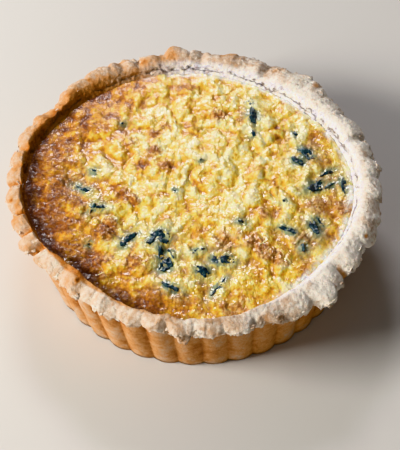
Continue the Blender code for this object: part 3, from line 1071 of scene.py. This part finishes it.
# ---- Spinach ---------------------------------------------------------------------
# Wilted spinach leaves stirred through the filling.  What lies at the top is thin and
# crumpled and has baked dark and shiny, half sunk among the curds.
LEAF_THICKNESS = 0.0005
CRUMPLE_DEPTH = 0.0015
LEVEL_REACH = 0.0016
leaf_finish, tree, shader = new_finish("wilted_spinach")
vein_and_sheen = grain(tree, 330.0, 4.0, 0.62, 0.8)
# Dark green leaf; its bluish stops are painted sheen, the sky's reflection on its gloss
colour = ramp(
    tree,
    vein_and_sheen,
    (0.30, (0.004, 0.010, 0.022)),
    (0.46, (0.010, 0.030, 0.050)),
    (0.57, (0.050, 0.100, 0.105)),
    (0.65, (0.130, 0.180, 0.260)),
    (0.76, (0.280, 0.330, 0.200)),
)
tree.links.new(colour, shader.inputs["Base Color"])
shader.inputs["Roughness"].default_value = 0.34
shader.inputs["Coat Weight"].default_value = 0.9
shader.inputs["Coat Roughness"].default_value = 0.10
normal = bumps(tree, vein_and_sheen, 0.0010, 0.8)
tree.links.new(normal, shader.inputs["Normal"])
tree.links.new(normal, shader.inputs["Coat Normal"])


def crumpled_leaf(made, x, y, long, wide, lie, seed):
    """Add one thin, ragged, crumpled leaf that lies half sunk in the top of the filling."""
    heading = Vector((math.cos(math.radians(lie)), math.sin(math.radians(lie)), 0.0))
    beside = Vector((-heading.y, heading.x, 0.0))
    grid = bmesh.ops.create_grid(made, x_segments=18, y_segments=12, size=1.0)["verts"]
    faces = list({face for vert in grid for face in vert.link_faces})
    for vert in grid:
        u, v = vert.co.x, vert.co.y
        ragged = 1.0 + 0.34 * noise.noise(Vector((2.4 * u, 2.4 * v, seed)))
        reach = u * math.sqrt(1.0 - 0.42 * v * v) * ragged
        across = v * math.sqrt(1.0 - 0.55 * u * u) * ragged
        bend = 0.16 * math.sin(2.4 * u + seed)
        spot = Vector((x, y, 0.0)) / 1000.0
        spot += heading * 0.0005 * long * reach + beside * 0.0005 * wide * (across + bend)
        crumple = noise.noise(Vector((spot.x * 260.0, spot.y * 260.0, seed)))
        crumple += 0.6 * noise.noise(Vector((spot.x * 520.0, spot.y * 520.0, seed)))
        edge = max(abs(u), abs(v)) ** 4
        steps = ((0.0, 0.0), (1.0, 0.0), (-1.0, 0.0), (0.0, 1.0), (0.0, -1.0))
        near = [(spot.x + LEVEL_REACH * a, spot.y + LEVEL_REACH * b) for a, b in steps]
        level = sum(surface_at(*place) for place in near) / len(near)
        spot.z = level + 0.0001 + CRUMPLE_DEPTH * crumple - 0.0006 * edge
        vert.co = spot
    shell = bmesh.ops.extrude_face_region(made, geom=faces)["geom"]
    for vert in (item for item in shell if isinstance(item, bmesh.types.BMVert)):
        vert.co.z += LEAF_THICKNESS


def leaf_piece(name, rows, first_seed):
    """Make the leaves in these rows as one piece that lies on the filling."""
    made = bmesh.new()
    for number, (x, y, long, wide, lie) in enumerate(rows):
        crumpled_leaf(made, x, y, long, wide, lie, first_seed + 3.7 * number)
    bmesh.ops.recalc_face_normals(made, faces=made.faces)
    piece = set_down(name, made)
    piece.data.materials.append(leaf_finish)
    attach(piece, "root")
    return piece


for number, (*shape, node) in enumerate(LEAVES):
    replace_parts(leaf_piece("leaf_" + node[-2:], [shape], 11.0 * number), node)
leaf_piece("spinach_scraps", SCRAPS, 200.0)


# ---- Table top and light ---------------------------------------------------------
# A plain pale table, a broad soft window to the left and a paler sky behind.  The broad
# window only shades: its mirror image would hide the filling from the right, so the shine
# comes from the sky behind.
TABLE_REACH = 3.0
ground = bmesh.new()
bmesh.ops.create_grid(ground, x_segments=1, y_segments=1, size=TABLE_REACH)
table_top = set_down("table_top", ground)
table_finish, tree, shader = new_finish("pale_table")
shader.inputs["Base Color"].default_value = (0.62, 0.60, 0.57, 1.0)
shader.inputs["Roughness"].default_value = 0.85
table_top.data.materials.append(table_finish)


def window(name, bearing, height, distance, wide, tall, power, colour):
    """A soft rectangular light that faces the quiche, at a bearing and height in degrees."""
    data = bpy.data.lights.new(name, "AREA")
    data.shape = "RECTANGLE"
    data.size, data.size_y = wide, tall
    data.energy = power
    data.color = colour
    lamp = bpy.data.objects.new(name, data)
    bpy.context.scene.collection.objects.link(lamp)
    turn, lift = math.radians(bearing), math.radians(height)
    out = Vector((math.cos(turn) * math.cos(lift), math.sin(turn) * math.cos(lift), math.sin(lift)))
    lamp.location = out * distance + Vector((0.0, 0.0, 0.05))
    lamp.rotation_mode = "QUATERNION"
    lamp.rotation_quaternion = out.to_track_quat("Z", "Y")
    return lamp


left_window = window("left_window", 190.0, 27.0, 1.6, 0.7, 0.5, 43.0, (1.0, 0.97, 0.92))
left_window.visible_glossy = False
window("back_sky", 97.0, 37.0, 1.8, 0.50, 0.34, 14.0, (0.96, 0.95, 1.0))
window("front_bounce", -104.0, 14.0, 1.6, 1.4, 0.8, 4.0, (1.0, 0.93, 0.84))
sky = bpy.data.worlds.new("room")
sky.use_nodes = True
sky.node_tree.nodes["Background"].inputs["Color"].default_value = (1.0, 0.97, 0.95, 1.0)
sky.node_tree.nodes["Background"].inputs["Strength"].default_value = 0.12
bpy.context.scene.world = sky
bpy.context.scene.view_settings.view_transform = "Khronos PBR Neutral"
